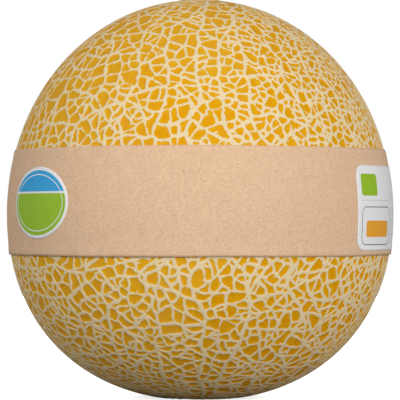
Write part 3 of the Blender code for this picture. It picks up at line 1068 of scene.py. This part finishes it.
label_paper, tree, shader, _ = new_material("label_paper")
sheet_place = flat_map(tree)
thread = threaded(tree, sheet_place, LABEL_THREADS)
paper = tinted(tree, thread["Dark"], 0.10, WHITE_PAPER, PALE_GREY)
field = filled(tree, outside_box(tree, sheet_place, FIELD_CENTRE, FIELD_SIZE, FIELD_CORNER))
frame_edge = outside_box(tree, sheet_place, FRAME_CENTRE, FRAME_SIZE, FRAME_CORNER)
rules = filled(tree, outside_box(tree, sheet_place, RULE_CENTRE, RULE_SIZE, 0.0))
for k in range(LINES):
    centre = (LINE_MIDDLE, (k - 0.5 * (LINES - 1)) * LINE_PITCH)
    line = filled(tree, outside_box(tree, sheet_place, centre, LINE_SIZE, 0.0))
    rules = maths(tree, "MAXIMUM", rules, line)
bar = filled(tree, outside_box(tree, sheet_place, BAR_CENTRE, BAR_SIZE, BAR_CORNER))
print_colour = mixed(tree, field, paper, LEAF_GREEN)
print_colour = mixed(tree, bar, print_colour, WARM_AMBER)
print_colour = mixed(tree, rules, print_colour, PALE_GREY)
print_colour = mixed(tree, lined(tree, frame_edge, FRAME_LINE), print_colour, DARK_GREY)
grain = tipped(tree, thread["Height"], 0.15, 0.05 * MM)
feed(tree, shader, base_color=print_colour, roughness=0.45, normal=grain)
label.data.materials.append(label_paper)
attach(label, "root")
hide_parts("side_label")

# ---------------------------------------------------------------------------------------------------
# The oval sticker. Smooth paper stuck to the band at the left: a green field under a blue cap, with a
# white edge, a thin white line inside it and a white line under the cap.
# ---------------------------------------------------------------------------------------------------
STICKER_WIDTH, STICKER_HEIGHT = 32.0 * MM, 23.5 * MM
STICKER_EDGE, EDGE_FADE = 1.1 * MM, 0.06 * MM
RING_INSET, RING_WIDTH = 2.5 * MM, 0.30 * MM
CAP_HEIGHT, CAP_LINE = 3.4 * MM, 0.60 * MM
SKY_BLUE = (0.016, 0.36, 0.72)
STICKER_RINGS = 24
INK_MOTTLE, INK_WEAR = (90.0, 900.0, 0.5), 0.05


def oval(width, height, count=120):
    """An ellipse's outline, anticlockwise: half the width by a cosine, half the height by a sine."""
    way = np.linspace(0.0, 2.0 * np.pi, count, endpoint=False)
    return np.stack([0.5 * width * np.cos(way), 0.5 * height * np.sin(way)], axis=-1)


sticker_outline = oval(STICKER_WIDTH, STICKER_HEIGHT)
sticker, flat = stuck_sheet("oval_sticker_paper", sticker_outline, "oval_sticker", STICKER_RINGS)
# The mesh holds how far in from the edge each point is: its shortfall from the oval, as a share of the way
# out, over how fast that share grows there.
halves = np.array([0.5 * STICKER_WIDTH, 0.5 * STICKER_HEIGHT])
reach_out = np.linalg.norm(flat / halves, axis=1)
steepness = np.maximum(np.linalg.norm(flat / halves ** 2, axis=1), 1e-6)
edge_distance = reach_out * (1.0 - reach_out) / steepness
inset = sticker.data.attributes.new("inset", "FLOAT", "POINT")
inset.data.foreach_set("value", edge_distance.astype(np.float32))

sticker_paper, tree, shader, place = new_material("sticker_paper")
inset = stored(tree, "inset")
field = mapped(tree, inset, STICKER_EDGE - EDGE_FADE, STICKER_EDGE + EDGE_FADE)
ring = lined(tree, maths(tree, "SUBTRACT", inset, RING_INSET), RING_WIDTH)
up = add_node(tree, "ShaderNodeSeparateXYZ", None, {"Vector": flat_map(tree)}).outputs["Y"]
over_cap = maths(tree, "SUBTRACT", up, CAP_HEIGHT)
tint = mixed(tree, filled(tree, over_cap), SKY_BLUE, LEAF_GREEN)
tint = tinted(tree, mottled(tree, place, *INK_MOTTLE), INK_WEAR, tint, WHITE_PAPER)
field = maths(tree, "SUBTRACT", field, maths(tree, "MAXIMUM", ring, lined(tree, over_cap, CAP_LINE)))
field = maths(tree, "MAXIMUM", field, 0.0)
feed(tree, shader, base_color=mixed(tree, field, WHITE_PAPER, tint), roughness=0.45, specular_ior_level=0.3)
sticker.data.materials.append(sticker_paper)
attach(sticker, "root")
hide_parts("oval_sticker")

# ---------------------------------------------------------------------------------------------------
# The place it is shown in: a plain pale floor that runs out of sight, soft light from both sides in front
# and a little from behind, and a camera level with the band.
# ---------------------------------------------------------------------------------------------------
FLOOR_SIZE = 4.0
# The floor looks white, yet throws back only a little light, and so does the sky.
FLOOR_BOUNCE, SKY_LIGHT = (0.31, 0.31, 0.31, 1.0), 0.29
bpy.ops.mesh.primitive_plane_add(size=FLOOR_SIZE, location=(0.0, 0.0, 0.0))
floor = bpy.context.object
floor.name = "floor"
floor_material, tree, shader, _ = new_material("pale_floor")
feed(tree, shader, base_color=(0.90, 0.90, 0.90, 1.0), roughness=0.9)
feed(tree, shader, emission_color=(1.0, 1.0, 1.0, 1.0), emission_strength=0.75)
dull = add_node(tree, "ShaderNodeBsdfDiffuse", None, {"Color": FLOOR_BOUNCE})
seen = tree.nodes.new("ShaderNodeLightPath").outputs["Is Camera Ray"]
shown = add_node(tree, "ShaderNodeMixShader", None, {0: seen, 1: dull.outputs[0], 2: shader.outputs[0]})
tree.links.new(shown.outputs[0], tree.nodes["Material Output"].inputs["Surface"])
floor.data.materials.append(floor_material)

world = bpy.data.worlds.new("studio")
bpy.context.scene.world = world
world.use_nodes = True
tree = world.node_tree
tree.nodes.clear()
sky = add_node(tree, "ShaderNodeBackground", None, {"Color": (1.0, 1.0, 1.0, 1.0), "Strength": SKY_LIGHT})
backdrop = add_node(tree, "ShaderNodeBackground", None, {"Color": (1.0, 1.0, 1.0, 1.0), "Strength": 1.0})
seen = tree.nodes.new("ShaderNodeLightPath").outputs["Is Camera Ray"]
chosen = add_node(tree, "ShaderNodeMixShader", None, {0: seen, 1: sky.outputs[0], 2: backdrop.outputs[0]})
tree.links.new(chosen.outputs[0], tree.nodes.new("ShaderNodeOutputWorld").inputs["Surface"])


def area_light(name, place, aim, size, power):
    """A soft square light at a place, turned to face another."""
    lamp = bpy.data.lights.new(name, "AREA")
    lamp.shape = "SQUARE"
    lamp.size = size
    lamp.energy = power
    holder = bpy.data.objects.new(name, lamp)
    holder.location = place
    holder.rotation_euler = (Vector(aim) - Vector(place)).to_track_quat("-Z", "Y").to_euler()
    holder.visible_camera = False
    bpy.context.scene.collection.objects.link(holder)


MIDDLE = Vector((0.0, 0.0, 67.6 * MM))
# Each lamp's name, its place and the side of its square in metres, and its power in watts.
LAMPS = (
    ("left_softbox", (-0.926, -0.723, 0.58), 0.6, 6.2),
    ("right_softbox", (0.56, -1.03, 0.33), 0.6, 9.6),
    ("back_softbox", (0.0, 1.05, 0.20), 0.3, 6.5),
)
for name, lamp_place, size, power in LAMPS:
    area_light(name, lamp_place, MIDDLE, size, power)

CAMERA_DISTANCE, CAMERA_HEIGHT = 0.82, 60.9 * MM
# The lens takes in this much of the fruit's own plane from top to bottom.
PICTURE_HEIGHT = 137.9 * MM
SENSOR = 36.0
camera_data = bpy.data.cameras.new("camera")
camera_data.sensor_width = SENSOR
camera_data.lens = SENSOR * CAMERA_DISTANCE / PICTURE_HEIGHT
camera = bpy.data.objects.new("camera", camera_data)
camera.location = (0.0, -CAMERA_DISTANCE, CAMERA_HEIGHT)
camera.rotation_euler = (MIDDLE - camera.location).to_track_quat("-Z", "Y").to_euler()
bpy.context.scene.collection.objects.link(camera)
bpy.context.scene.camera = camera
bpy.context.scene.view_settings.view_transform = "Standard"
